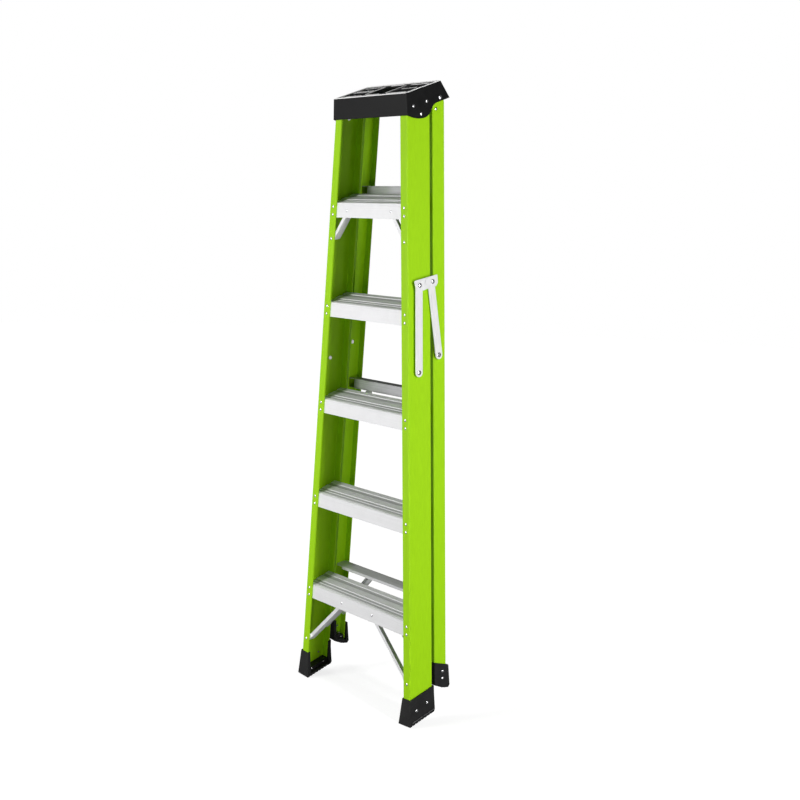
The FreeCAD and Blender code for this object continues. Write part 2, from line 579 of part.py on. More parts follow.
# knee braces hang on a lug riveted under the bar's rear flange: a flat lug plate
for nm, (zt, h) in BARS.items():
    tag = nm.split("_")[-1]
    zb_ = zt - h
    xa = w(zt) - 76.0
    pb = railp(-R_OFF - 15.8, 0, zr(zb_ - 50.0))
    a, b = (xa, zb_ - 10.0), (pb.x, pb.z)
    L = math.hypot(b[0] - a[0], b[1] - a[1])
    e = 9.0
    flat = obround(a, b, e, YI1 - 2.0, YI1)
    lug = fuse([box(xa - 13, xa + 13, YI1 - 2.0, YI1, zb_ - 16, zb_), box(xa - 13, xa + 13, YI1 - 24.0, YI1, zb_ - 2.0, zb_)])
    s = fuse([flat, lug])
    shapes["rear_knee_%s_right" % tag] = s
    for sg, side in ((1, "right"), (-1, "left")):
        q = V(sg * b[0], R_Y1, b[1])
        rear_rivets.append(rivet(q, V(0, -1, 0), R_T + 2.0))
        drill("rear_rail_" + side, q + V(0, 3, 0), V(0, -1, 0), 12)
        drill("rear_knee_%s_%s" % (tag, side), q + V(0, 3, 0), V(0, -1, 0), 12)
        q = V(sg * xa, YI1 - 12.0, zb_ - 2.0)
        rear_rivets.append(rivet(q, Z, 2.0 + BAR_T))
        drill("rear_knee_%s_%s" % (tag, side), q - V(0, 0, 3), Z, 12)
        drill(nm, q - V(0, 0, 3), Z, 12)

# ----------------------------------------------------------------- rear feet
RF_LIFT = 13.0               # sole's upper face above the rail's nominal end


def rear_foot():
    prof = [(R_Y0 - 2.6, -123.4), (151.8, -138.6), (154.8, -199.6), (149.4, -206.8), (139.0, -206.2), (124.0, -203.4), (R_Y0 - 1.2, -193.0), (R_Y0 - 3.2, -188.0)]
    prof = [(a, zr(b)) for a, b in prof]
    blk = poly_prism_yz(prof, -60, 4)
    side = poly_prism_xz([(-R_OFF - R_FLANGE - 13.0, -400), (1.0, -400), (0.8, zr(-206)), (-1.2, zr(-130)), (-1.2, zr(-100)), (-R_OFF - R_FLANGE - 2.0, zr(-100)),
                          (-R_OFF - R_FLANGE - 2.6, zr(-130)), (-R_OFF - R_FLANGE - 12.6, zr(-200))], 60, 200)
    blk = blk.common(side)
    zb = zr(R_BOT) + RF_LIFT
    pocket = poly_prism_yz([(R_Y0, zb), (R_Y1, zb - (R_Y1 - R_Y0) * SLOPE_R), (R_Y1, 0), (R_Y0, 0)], -R_OFF - R_FLANGE - 0.05, -R_OFF)
    blk = blk.cut(pocket)
    # open towards the inside between the lips, above the plug
    ly0, ly1 = R_Y0 + R_T + 2.0, R_Y1
    hatch = poly_prism_yz([(ly0, zb - (ly0 - R_Y0) * SLOPE_R), (ly1, zb - (ly1 - R_Y0) * SLOPE_R), (ly1, 0), (ly0, 0)], -60, -R_OFF - R_FLANGE + 2)
    blk = blk.cut(hatch)
    by0, by1 = R_Y0 + R_T + 2.2, R_Y1 - R_T - 2.2
    plug = poly_prism_yz([(by0, zb - (by0 - R_Y0) * SLOPE_R - 3), (by1, zb - (by1 - R_Y0) * SLOPE_R - 3), (by1, zr(-180)), (by0, zr(-174))],
                         -R_OFF - R_FLANGE - 1.0, -R_OFF - R_T)
    blk = fuse([blk, plug])
    for k in range(4):
        u = 12 + k * 10.5
        yy = R_Y0 - 3.2 + u
        zz = zr(-193.0 - u * 13.0 / 53.2)
        blk = blk.cut(box(-80, 30, yy - 1.5, yy + 1.5, zz - 14, zz - 1.2))
    return blk


# the rail stops on the sole of its foot
rr = shapes["rear_rail_right"]
trim = poly_prism_yz([(60, -400), (200, -400), (200, zr(R_BOT) + RF_LIFT - (200 - R_Y0) * SLOPE_R), (60, zr(R_BOT) + RF_LIFT + (R_Y0 - 60) * SLOPE_R)], -80, 20)
shapes["rear_rail_right"] = rr.cut(rail(trim))
shapes["rear_foot_right"] = rail(rear_foot())
rear_foot_rivets = []
for (yy, zz) in ((129.2, -154.5), (129.0, -175.5)):
    of = -1.2 + 2.0 * (-130 - zz) / 76.0
    p = railp(of, yy, zr(zz))
    d = V(-COSA, 0, -SINA)
    # the upper rivet clamps the boot to the rail, the lower one ends in the plug
    upper = zz > -170
    grip = of + R_OFF + R_T if upper else 22.0
    for sg, side in ((1, "right"), (-1, "left")):
        q, dd = V(sg * p.x, p.y, p.z), V(sg * d.x, 0, d.z)
        rear_foot_rivets.append(rivet(q, dd, grip, tail=0.8 if upper else None))
        drill("rear_foot_" + side, q - dd * 3, dd, grip + (8 if upper else 3.3))
        drill("rear_rail_" + side, q - dd * 3, dd, grip + 8)
p = railp(-R_OFF - R_FLANGE - 1.0, 131.0, zr(-186.0))
d = V(COSA, 0, SINA)
for sg, side in ((1, "right"), (-1, "left")):
    q, dd = V(sg * p.x, p.y, p.z), V(sg * d.x, 0, d.z)
    rear_foot_rivets.append(rivet(q, dd, 7.0, 1.9, 3.0, 1.1, None))
    drill("rear_foot_" + side, q - dd * 3, dd, 10.2, 2.0)
shapes["rear_foot_rivets"] = Part.makeCompound(rear_foot_rivets)
shapes["front_foot_rivets"] = Part.makeCompound(foot_rivets)

# ---------------------------------------------------------------- spreaders
def plate(pts, layer, t, r=None):
    """flat plate in the rail frame, its inner face at the layer height"""
    f = Part.Face(Part.makePolygon([V(layer, a, zr(b)) for a, b in pts + pts[:1]]))
    return f.extrude(V(t, 0, 0))


def arm(a, b, wd, layer, t):
    A, B = V(layer, a[0], zr(a[1])), V(layer, b[0], zr(b[1]))
    s = (B - A); s.normalize()
    q = s.cross(X)
    r = wd / 2.0
    pr = [A + q * r, B + q * r, B - q * r, A - q * r]
    bar = Part.Face(Part.makePolygon(pr + pr[:1])).extrude(V(t, 0, 0))
    return fuse([bar, Part.makeCylinder(r, t, A, X), Part.makeCylinder(r, t, B, X)])


def bead(a, b, wd, layer, h, trim):
    A, B = V(layer, a[0], zr(a[1])), V(layer, b[0], zr(b[1]))
    s = (B - A); s.normalize()
    A2, B2 = A + s * trim, B - s * trim
    q = s.cross(X)
    r = wd / 2.0
    pr = [A2 + q * r, B2 + q * r, B2 - q * r, A2 - q * r]
    bar = Part.Face(Part.makePolygon(pr + pr[:1])).extrude(V(h, 0, 0))
    return fuse([bar, Part.makeCylinder(r, h, A2, X), Part.makeCylinder(r, h, B2, X)])


fa = fuse([arm(P1, PA, ARM_W, L_FRONT, ARM_T), bead(P1, PA, 11.0, L_FRONT, ARM_T + 0.9, 26.0).common(box(0, 40, 0, 200, 0, zr(PA[1] - 62)))])
ra = fuse([arm(P2, PB, ARM_W, L_REAR, ARM_T), bead(P2, PB, 11.0, L_REAR, ARM_T + 0.9, 26.0).common(box(0, 40, 0, 200, 0, zr(PB[1] - 40)))])
shapes["spreader_front_arm_right"] = rail(fa)
shapes["spreader_rear_arm_right"] = rail(ra)
LK_T = 2.0
lk = plate([(PA[0] - 20.6, 1011.4), (PB[0] + 17.5, 1031.0), (PB[0] + 19.5, 1007.5), (PB[0] + 13.0, 996.5), (PB[0] - 4.0, 994.5), (PA[0] + 13.5, 984.5), (PA[0] - 13.0, 981.0)],
           L_LINK, LK_T)
lk = lk.makeFillet(3.0, [e for e in lk.Edges if abs(e.Vertexes[0].X - e.Vertexes[-1].X) > 1])
tab = plate([(PA[0] + 18.0, 1000.0), (PA[0] + 20.0, 1018.0), (PA[0] + 33.5, 1020.5), (PA[0] + 32.5, 1003.0)], L_LINK, LK_T + 2.2)
lk = fuse([lk, tab])
shapes["spreader_link_right"] = rail(lk)


def xface(node, y, z, outer):
    """x of a node's outer or inner face where the X-parallel line (y, z) meets it"""
    ln = Part.makeLine(V(0, y, z), V(400, y, z))
    c = ln.common(shapes[node])
    xs = [v.X for v in c.Vertexes]
    return max(xs) if outer else min(xs)


def xpivot(node_out, y, z, x_in, r, hr, hh):
    """pin along +X from x_in to just past a node's outer face, with a head"""
    x_out = xface(node_out, y, z, True) + 0.5
    return x_in, x_out


pivF, pivR, lkriv = [], [], []
# front pivot: pin in the front web with a spacer under the arm
y, z = P1
xw = w(z)
xi = xface("spreader_front_arm_right", y, z, False)
xo = xface("spreader_front_arm_right", y, z, True)
pf = fuse([Part.makeCylinder(PIV_R, xo + 0.9 - (xw - F_T - 2.6), V(xw - F_T - 2.6, y, z), X), dome(V(xo + 0.9, y, z), X, 7.0, 2.4),
           Part.makeCylinder(7.5, xi - 1.0 - (xw + 0.8), V(xw + 0.8, y, z), X), Part.makeCylinder(6.0, 1.8, V(xw - F_T - 2.3, y, z), X)])
web_cut = rail(box(-F_T, 0, 0, F_DEPTH, zr(z) - 40, zr(z) + 40))
pf = pf.cut(web_cut.cut(Part.makeCylinder(PIV_R + 0.05, 60, V(xw - 30, y, z), X)))
shapes["front_spreader_pivots"] = Part.makeCompound([pf, mir(pf)])
for sg, side in ((1, "right"), (-1, "left")):
    drill("front_rail_" + side, V(sg * (xw - 12), y, z), V(sg, 0, 0), 24, PIV_R + 0.06)
    drill("spreader_front_arm_" + side, V(sg * (xw - 12), y, z), V(sg, 0, 0), 50, PIV_R + 0.06)
# rear pivot: pin in the rear web
y, z = P2
xw = w(z) - R_OFF / COSA
xi = xface("spreader_rear_arm_right", y, z, False)
xo = xface("spreader_rear_arm_right", y, z, True)
pr_ = fuse([Part.makeCylinder(PIV_R, xo + 0.9 - (xw - R_T - 2.6), V(xw - R_T - 2.6, y, z), X), dome(V(xo + 0.9, y, z), X, 7.0, 1.5),
            Part.makeCylinder(7.5, xi - 1.0 - (xw + 0.8), V(xw + 0.8, y, z), X), Part.makeCylinder(6.0, 1.8, V(xw - R_T - 2.3, y, z), X)])
web_cut = rail(box(-R_OFF - R_T, -R_OFF, R_Y0, R_Y1, zr(z) - 40, zr(z) + 40))
pr_ = pr_.cut(web_cut.cut(Part.makeCylinder(PIV_R + 0.05, 60, V(xw - 30, y, z), X)))
shapes["rear_spreader_pivots"] = Part.makeCompound([pr_, mir(pr_)])
for sg, side in ((1, "right"), (-1, "left")):
    drill("rear_rail_" + side, V(sg * (xw - 12), y, z), V(sg, 0, 0), 24, PIV_R + 0.06)
    drill("spreader_rear_arm_" + side, V(sg * (xw - 12), y, z), V(sg, 0, 0), 60, PIV_R + 0.06)
# link rivets: one joins the link to the front arm; the other ends at the
# link's inner face, over the hole in the rear arm
y, z = PA
xi = xface("spreader_front_arm_right", y, z, False)
xo = xface("spreader_link_right", y, z, True)
ka = fuse([Part.makeCylinder(PIV_R, xo + 0.6 - xi - 0.4, V(xi + 0.4, y, z), X), dome(V(xo + 0.6, y, z), X, 6.6, 2.4)])
drillA = (y, z)
y, z = PB
xi = xface("spreader_link_right", y, z, False)
xo = xface("spreader_link_right", y, z, True)
kb = fuse([Part.makeCylinder(PIV_R, xo + 0.6 - xi - 0.2, V(xi + 0.2, y, z), X), dome(V(xo + 0.6, y, z), X, 6.6, 2.4)])
shapes["link_rivets_right"] = Part.makeCompound([ka, kb])
for sg, side in ((1, "right"), (-1, "left")):
    drill("spreader_link_" + side, V(sg * 180, PA[0], PA[1]), V(sg, 0, 0), 60, PIV_R + 0.06)
    drill("spreader_link_" + side, V(sg * 180, PB[0], PB[1]), V(sg, 0, 0), 60, PIV_R + 0.06)
    drill("spreader_front_arm_" + side, V(sg * 180, PA[0], PA[1]), V(sg, 0, 0), 60, PIV_R + 0.06)
    drill("spreader_rear_arm_" + side, V(sg * 180, PB[0], PB[1]), V(sg, 0, 0), 60, PIV_R + 0.06)

shapes["step_rivets"] = Part.makeCompound(step_rivets)
shapes["brace_rivets"] = Part.makeCompound(brace_rivets)
shapes["rear_rivets"] = Part.makeCompound(rear_rivets)

# ------------------------------------------------------- mirror, drill, write
for nm in [n for n in shapes if n.endswith("_right")]:
    shapes[nm[:-6] + "_left"] = mir(shapes[nm])
for nm, hs in holes.items():
    s = shapes[nm]
    s = s.cut(Part.makeCompound(hs)) if len(hs) == 1 else s.cut(hs)
    shapes[nm] = s

# the foot rivets sit down on the flared sides of the feet
for nm, a in (("front_foot_rivets", "front_foot"), ("rear_foot_rivets", "rear_foot")):
    keep = []
    for s in shapes[nm].Solids:
        f = shapes[a + ("_right" if s.CenterOfMass.x > 0 else "_left")]
        c = s.cut(f)
        keep.append(max(c.Solids, key=lambda q: q.Volume))
    shapes[nm] = Part.makeCompound(keep)

bb = None
for s in shapes.values():
    b = s.BoundBox
    bb = b if bb is None else bb.united(b)
ORG = V(0, (bb.YMin + bb.YMax) / 2.0, bb.ZMin)
for nm in sorted(shapes):
    s = shapes[nm].copy()
    s.translate(ORG * -1)
    if s.ShapeType == "Compound" and len(s.Solids) == 1:
        s = s.Solids[0]
    if not s.isValid():
        print("INVALID", nm)
    s.exportStep("parts/%s.step" % nm)
    print("%-28s solids %2d  vol %10.1f" % (nm, len(s.Solids), s.Volume))
print("origin in working frame", ORG, "size", bb.XLength, bb.YLength, bb.ZLength, "nodes", len(shapes))
for k, p in (("P1", P1), ("PA", PA), ("PB", PB), ("P2", P2), ("H", HINGE)):
    print(k, round(p[0] - ORG.y, 3), round(p[1] - ORG.z, 3))
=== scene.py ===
import bpy, bmesh, math, random
from mathutils import Vector, Matrix


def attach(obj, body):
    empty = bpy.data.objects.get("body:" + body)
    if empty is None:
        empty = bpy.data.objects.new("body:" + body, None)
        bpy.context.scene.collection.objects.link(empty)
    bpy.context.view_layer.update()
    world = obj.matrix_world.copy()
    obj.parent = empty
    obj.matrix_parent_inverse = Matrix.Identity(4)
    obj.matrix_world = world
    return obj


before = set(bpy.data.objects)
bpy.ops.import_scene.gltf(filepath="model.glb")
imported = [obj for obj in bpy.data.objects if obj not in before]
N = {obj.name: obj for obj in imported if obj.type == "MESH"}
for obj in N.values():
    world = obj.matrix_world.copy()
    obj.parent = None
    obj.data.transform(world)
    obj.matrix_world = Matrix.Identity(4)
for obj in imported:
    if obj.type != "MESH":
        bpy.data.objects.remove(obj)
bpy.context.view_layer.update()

scene = bpy.context.scene
scene.view_settings.view_transform = "Standard"
scene.view_settings.look = "None"
scene.view_settings.exposure = 0.0
scene.view_settings.gamma = 1.0

# ------------------------------------------------------------------ camera
cam_data = bpy.data.cameras.new("camera")
cam_data.sensor_width = 36.0
cam_data.lens = 58.2356
cam_data.clip_end = 60.0
cam = bpy.data.objects.new("camera", cam_data)
scene.collection.objects.link(cam)
r = Vector((0.63286797, 0.77354081, 0.03335789))
u = Vector((-0.12618892, 0.06054157, 0.9901571))
f = Vector((-0.76390738, 0.63084811, -0.1359271))
m = Matrix((r, u, -f)).transposed().to_4x4()
m.translation = Vector((3.0592259, -2.4509459, 1.4776481))
cam.matrix_world = m
scene.camera = cam


# --------------------------------------------------------------- materials
class G:
    """a small helper to write node trees in few lines"""

    def __init__(self, name):
        self.mat = bpy.data.materials.new(name)
        self.mat.use_nodes = True
        self.nt = self.mat.node_tree
        self.nt.nodes.clear()
        self.out = self.nt.nodes.new("ShaderNodeOutputMaterial")
        self.bsdf = self.nt.nodes.new("ShaderNodeBsdfPrincipled")
        self.nt.links.new(self.bsdf.outputs[0], self.out.inputs[0])
        self.tc = self.nt.nodes.new("ShaderNodeTexCoord")

    def link(self, a, b):
        self.nt.links.new(a, b)

    def mapping(self, scale, rot=(0, 0, 0)):
        n = self.nt.nodes.new("ShaderNodeMapping")
        n.inputs["Scale"].default_value = scale
        n.inputs["Rotation"].default_value = rot
        self.link(self.tc.outputs["Object"], n.inputs["Vector"])
        return n.outputs[0]

    def noise(self, vec, scale=1.0, detail=3.0, rough=0.55, dist=0.0):
        n = self.nt.nodes.new("ShaderNodeTexNoise")
        n.inputs["Scale"].default_value = scale
        n.inputs["Detail"].default_value = detail
        n.inputs["Roughness"].default_value = rough
        n.inputs["Distortion"].default_value = dist
        self.link(vec, n.inputs["Vector"])
        return n.outputs["Fac"]

    def voronoi(self, vec, scale=1.0, feature="F1"):
        n = self.nt.nodes.new("ShaderNodeTexVoronoi")
        n.feature = feature
        n.inputs["Scale"].default_value = scale
        self.link(vec, n.inputs["Vector"])
        return n.outputs["Distance"]

    def rng(self, v, a, b, c, d):
        n = self.nt.nodes.new("ShaderNodeMapRange")
        n.inputs[1].default_value = a
        n.inputs[2].default_value = b
        n.inputs[3].default_value = c
        n.inputs[4].default_value = d
        self.link(v, n.inputs[0])
        return n.outputs[0]

    def math(self, op, a, b=0.0):
        n = self.nt.nodes.new("ShaderNodeMath")
        n.operation = op
        for i, v in enumerate((a, b)):
            if isinstance(v, (int, float)):
                n.inputs[i].default_value = v
            else:
                self.link(v, n.inputs[i])
        return n.outputs[0]

    def mix(self, fac, a, b, mode="MIX"):
        n = self.nt.nodes.new("ShaderNodeMix")
        n.data_type = "RGBA"
        n.blend_type = mode
        if isinstance(fac, (int, float)):
            n.inputs[0].default_value = fac
        else:
            self.link(fac, n.inputs[0])
        for i, v in ((6, a), (7, b)):
            if isinstance(v, tuple):
                n.inputs[i].default_value = v + (1.0,) if len(v) == 3 else v
            else:
                self.link(v, n.inputs[i])
        return n.outputs[2]

    def edge(self, radius, lo=0.02, hi=0.25):
        """1 along convex and concave edges: how far the rounded normal leaves the face's own"""
        b = self.nt.nodes.new("ShaderNodeBevel")
        b.samples = 4
        b.inputs["Radius"].default_value = radius
        g = self.nt.nodes.new("ShaderNodeNewGeometry")
        d = self.nt.nodes.new("ShaderNodeVectorMath")
        d.operation = "DOT_PRODUCT"
        self.link(b.outputs[0], d.inputs[0])
        self.link(g.outputs["Normal"], d.inputs[1])
        return self.rng(d.outputs["Value"], 1.0 - lo, 1.0 - hi, 0.0, 1.0)

    def bump(self, height, strength, dist, bevel=0.0, prev=None):
        n = self.nt.nodes.new("ShaderNodeBump")
        n.inputs["Strength"].default_value = strength
        n.inputs["Distance"].default_value = dist
        self.link(height, n.inputs["Height"])
        if prev is not None:
            self.link(prev, n.inputs["Normal"])
        elif bevel:
            b = self.nt.nodes.new("ShaderNodeBevel")
            b.samples = 4
            b.inputs["Radius"].default_value = bevel
            self.link(b.outputs[0], n.inputs["Normal"])
        return n.outputs[0]

    def finish(self, color, rough, normal, metallic=0.0, spec=0.5, coat=0.0, coat_rough=0.2, aniso=0.0):
        b = self.bsdf
        self.link(color, b.inputs["Base Color"])
        self.link(rough, b.inputs["Roughness"])
        self.link(normal, b.inputs["Normal"])
        b.inputs["Metallic"].default_value = metallic
        b.inputs["Specular IOR Level"].default_value = spec
        b.inputs["Coat Weight"].default_value = coat
        b.inputs["Coat Roughness"].default_value = coat_rough
        b.inputs["Anisotropic"].default_value = aniso
        return self.mat


def fibreglass():
    g = G("fibreglass_green")
    streak = g.noise(g.mapping((520, 520, 7)), 1.0, 4.0, 0.6)       # rovings along the rail
    fine = g.noise(g.mapping((1500, 1500, 60)), 1.0, 2.0, 0.5)
    blot = g.noise(g.mapping((14, 14, 5)), 1.0, 3.0, 0.6)
    veil = g.noise(g.mapping((900, 900, 620)), 1.0, 3.0, 0.65, 0.6)
    c = g.mix(g.rng(streak, 0.32, 0.68, 0.0, 1.0), (0.305, 0.61, 0.0035), (0.365, 0.69, 0.006))
    c = g.mix(g.rng(blot, 0.3, 0.7, 0.0, 0.30), c, (0.33, 0.65, 0.004))
    c = g.mix(g.rng(veil, 0.56, 0.74, 0.0, 0.28), c, (0.40, 0.74, 0.03))
    c = g.mix(g.rng(veil, 0.44, 0.30, 0.0, 0.30), c, (0.20, 0.48, 0.002))
    e = g.math("MULTIPLY", g.edge(0.0012), g.rng(blot, 0.40, 0.62, 0.05, 0.55))
    c = g.mix(e, c, (0.44, 0.76, 0.07))
    ro = g.rng(blot, 0.3, 0.7, 0.34, 0.44)
    ro = g.math("ADD", ro, g.rng(fine, 0.3, 0.7, -0.03, 0.03))
    n1 = g.bump(streak, 0.35, 0.00012, bevel=0.0007)
    n2 = g.bump(veil, 0.30, 0.00006, prev=n1)
    return g.finish(c, ro, n2, 0.0, 0.15)


def plastic(name, base, light, rmin, rmax, grain, bump, bevel, spec):
    g = G(name)
    gr = g.voronoi(g.mapping((grain, grain, grain)), 1.0)
    cloud = g.noise(g.mapping((26, 26, 26)), 1.0, 4.0, 0.6)
    scuff = g.noise(g.mapping((240, 90, 700), (0.4, 0.2, 0.7)), 1.0, 4.0, 0.7, 1.2)
    c = g.mix(g.rng(cloud, 0.3, 0.7, 0.0, 1.0), base, light)
    c = g.mix(g.rng(scuff, 0.66, 0.82, 0.0, 0.35), c, tuple(3.2 * v for v in light))
    e = g.math("MULTIPLY", g.edge(0.0011), g.rng(cloud, 0.42, 0.6, 0.06, 0.5))
    c = g.mix(e, c, tuple(3.4 * v for v in light))
    ro = g.math("ADD", g.rng(cloud, 0.3, 0.7, rmin, rmax), g.rng(scuff, 0.6, 0.8, 0.0, 0.08))
    n1 = g.bump(gr, bump, 0.00025, bevel=bevel)
    return g.finish(c, ro, n1, 0.0, spec)


def metal(name, base, dark, stretch, rmin, rmax, bump=0.25, bevel=0.0005, metallic=1.0, aniso=0.0):
    """extruded or rolled metal: fine die lines along one axis, dull patches, small nicks"""
    g = G(name)
    lines = g.noise(g.mapping(stretch), 1.0, 3.0, 0.6)
    cloud = g.noise(g.mapping((22, 22, 22)), 1.0, 4.0, 0.6)
    nick = g.noise(g.mapping((420, 420, 420), (0.3, 0.5, 0.2)), 1.0, 2.0, 0.5, 0.8)
    c = g.mix(g.rng(lines, 0.3, 0.7, 0.0, 1.0), dark, base)
    c = g.mix(g.rng(cloud, 0.35, 0.7, 0.0, 0.35), c, tuple(0.82 * v for v in base))
    c = g.mix(g.rng(nick, 0.70, 0.80, 0.0, 0.5), c, tuple(0.6 * v for v in base))
    e = g.edge(0.0007)
    c = g.mix(g.math("MULTIPLY", e, 0.4), c, (0.97, 0.97, 0.97))
    ro = g.math("ADD", g.rng(cloud, 0.3, 0.7, rmin, rmax), g.rng(lines, 0.3, 0.7, -0.04, 0.04))
    n1 = g.bump(lines, bump, 0.00008, bevel=bevel)
    n2 = g.bump(nick, 0.12, 0.0001, prev=n1)
    return g.finish(c, ro, n2, metallic, 0.5, aniso=aniso)


M = {
    "fibreglass_green": fibreglass(),
    "black_plastic": plastic("black_plastic", (0.0040, 0.0040, 0.0043), (0.0075, 0.0075, 0.0078), 0.42, 0.54, 1500, 0.35, 0.0011, 0.15),
    "black_rubber": plastic("black_rubber", (0.0080, 0.0080, 0.0085), (0.0145, 0.0145, 0.015), 0.48, 0.62, 1100, 0.5, 0.0012, 0.24),
    "step_aluminium": metal("step_aluminium", (0.86, 0.86, 0.87), (0.79, 0.79, 0.80), (3, 900, 900), 0.46, 0.56, metallic=0.2),
    "brace_aluminium": metal("brace_aluminium", (0.90, 0.90, 0.91), (0.78, 0.78, 0.80), (60, 500, 60), 0.38, 0.50, metallic=0.25),
    "spreader_metal": metal("spreader_metal", (0.93, 0.93, 0.94), (0.84, 0.84, 0.85), (500, 500, 12), 0.34, 0.44, metallic=0.35),
    "rivet_metal": metal("rivet_metal", (0.74, 0.74, 0.76), (0.58, 0.58, 0.60), (700, 700, 700), 0.20, 0.30, 0.1, 0.0003),
}
# painted shade: darker aluminium for the strips in the tread grooves, where shade falls
M["groove_metal"] = metal("groove_metal", (0.56, 0.56, 0.565), (0.42, 0.42, 0.425), (3, 900, 900), 0.55, 0.68, metallic=0.2)
# painted shade: the rear bars get darker copies of the same aluminium, the upper bars much darker for the
# shade behind the steps, the bottom bar a little darker
M["bar_aluminium_shaded_copy"] = metal("bar_aluminium_shaded_copy", (0.50, 0.50, 0.51), (0.34, 0.34, 0.35), (4, 700, 700), 0.34, 0.46, metallic=0.9)
M["bar_low_aluminium_light_shade"] = metal("bar_low_aluminium_light_shade", (0.74, 0.74, 0.75), (0.56, 0.56, 0.57), (4, 700, 700), 0.36, 0.48, metallic=0.3)
for name, ob in N.items():
    for s in ob.material_slots:
        key = s.material.name.split(".")[0]
        if key in M:
            s.material = M["bar_low_aluminium_light_shade" if name.startswith("rear_bar_bottom") else
                           "bar_aluminium_shaded_copy" if name.startswith("rear_bar") else key]


# ----------------------------------------------------------- detail pieces
def mesh_piece(name, verts, faces, mat, body, smooth=False):
    me = bpy.data.meshes.new(name)
    me.from_pydata([tuple(v) for v in verts], [], faces)
    me.validate()
    bm = bmesh.new()
    bm.from_mesh(me)
    bmesh.ops.recalc_face_normals(bm, faces=bm.faces)
    bm.to_mesh(me)
    bm.free()
    ob = bpy.data.objects.new(name, me)
    scene.collection.objects.link(ob)
    me.materials.append(mat)
    if smooth:
        for p in me.polygons:
            p.use_smooth = True
    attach(ob, body)
    return ob


# fine cross serrations on the raised bands of every tread
TAPER = 0.062


def half_w(z):
    return 0.280418 - TAPER * z


F_T, DEPTH, PITCH = 0.0038, 0.0854, 0.3048
SK, RE = 0.0105, 0.0410
TL = math.hypot(DEPTH - 2 * F_T, RE - SK)
ty, tz = (DEPTH - 2 * F_T) / TL, (RE - SK) / TL
Y0, Z0 = -0.07475, 0.300294           # the working frame's origin in this one
BANDS = [(0.0046, 0.0114), (0.0340, 0.0532), (0.0694, TL - 0.0012)]
for i in range(5):
    zi = Z0 + (4 - i) * PITCH
    verts, faces = [], []
    pitch, wd, hh = 0.0032, 0.0011, 0.00032
    for u0, u1 in BANDS:
        zz = zi + SK + (u0 + u1) / 2 * tz
        hw = half_w(zz) - F_T / math.cos(math.atan(TAPER)) - 0.0045
        n = int(2 * hw / pitch)
        for k in range(n + 1):
            x = -hw + k * 2 * hw / n
            b = len(verts)
            for (du, lift) in ((u0, -0.0001), (u1, -0.0001)):
                y = Y0 + F_T + du * ty
                z = zi + SK + du * tz
                for dx, l in ((-wd, -0.0001), (-wd * 0.35, hh), (wd * 0.35, hh), (wd, -0.0001)):
                    verts.append((x + dx, y - l * tz, z + l * ty))
            faces += [(b, b + 1, b + 5, b + 4), (b + 1, b + 2, b + 6, b + 5), (b + 2, b + 3, b + 7, b + 6),
                      (b + 3, b, b + 4, b + 7), (b, b + 3, b + 2, b + 1), (b + 4, b + 5, b + 6, b + 7)]
    mesh_piece("tread_grip_%d" % (i + 1), verts, faces, M["step_aluminium"], "front_frame")

# painted shade: a darker metal strip laid on the floor of each tread groove
for i in range(5):
    zi = Z0 + (4 - i) * PITCH
    verts, faces = [], []
    for u0, u1 in ((0.0129, 0.0209), (0.0236, 0.0321), (0.0551, 0.0675)):
        zz = zi + SK + (u0 + u1) / 2 * tz
        hw = half_w(zz) - F_T / math.cos(math.atan(TAPER)) - 0.0040
        n = 60
        for k in range(n + 1):
            x = -hw + k * 2 * hw / n
            wob = 0.0004 * math.sin(k * 1.7 + i)
            for u, l in ((u0 + wob * 0.5, -0.00150), (u0 + 0.0006 + wob, -0.00138), ((u0 + u1) / 2, -0.00142), (u1 - 0.0006 - wob, -0.00138), (u1 - wob * 0.5, -0.00150)):
                verts.append((x, Y0 + F_T + u * ty - l * tz, zi + SK + u * tz + l * ty))
        b = len(verts) - 5 * (n + 1)
        for k in range(n):
            for m in range(4):
                p = b + 5 * k + m
                faces.append((p, p + 5, p + 6, p + 1))
    mesh_piece("tread_groove_shade_%d" % (i + 1), verts, faces, M["groove_metal"], "front_frame")

# glossy welt above the tread of each front boot, broken at the mould seam; its grey, far lighter than the
# rubber, is a painted highlight along the lip
COSA = math.cos(math.atan(TAPER))
SINA = math.sin(math.atan(TAPER))


def rail_pt(side, xr, y, z):
    """rail frame (x from the web, working y, distance along the rail) -> row frame"""
    x = 0.2618 + xr * COSA - z * SINA
    return (side * x, y + Y0, xr * SINA + z * COSA + Z0)


WELT_PAINTED_HIGHLIGHT = plastic("boot_welt_painted_highlight", (0.10, 0.10, 0.102), (0.16, 0.16, 0.162), 0.30, 0.42, 1100, 0.3, 0.0006, 0.4)
for side, tag in ((1, "right"), (-1, "left")):
    verts, faces = [], []
    for ya, yb in ((0.0020, 0.0400), (0.0440, 0.0860)):
        b = len(verts)
        for y in (ya, yb):
            zc = (-0.2974 + (y + 0.0064) * (0.0308 / 0.0970) + 0.0098) * 1.0019
            for dx, dz in ((0.0086, -0.0009), (0.0099, -0.0005), (0.0099, 0.0006), (0.0086, 0.0010)):
                verts.append(rail_pt(side, dx, y, zc + dz))
        faces += [(b, b + 1, b + 5, b + 4), (b + 1, b + 2, b + 6, b + 5), (b + 2, b + 3, b + 7, b + 6),
                  (b + 3, b, b + 4, b + 7), (b, b + 3, b + 2, b + 1), (b + 4, b + 5, b + 6, b + 7)]
    mesh_piece("front_foot_welt_" + tag, verts, faces, WELT_PAINTED_HIGHLIGHT, "front_frame")

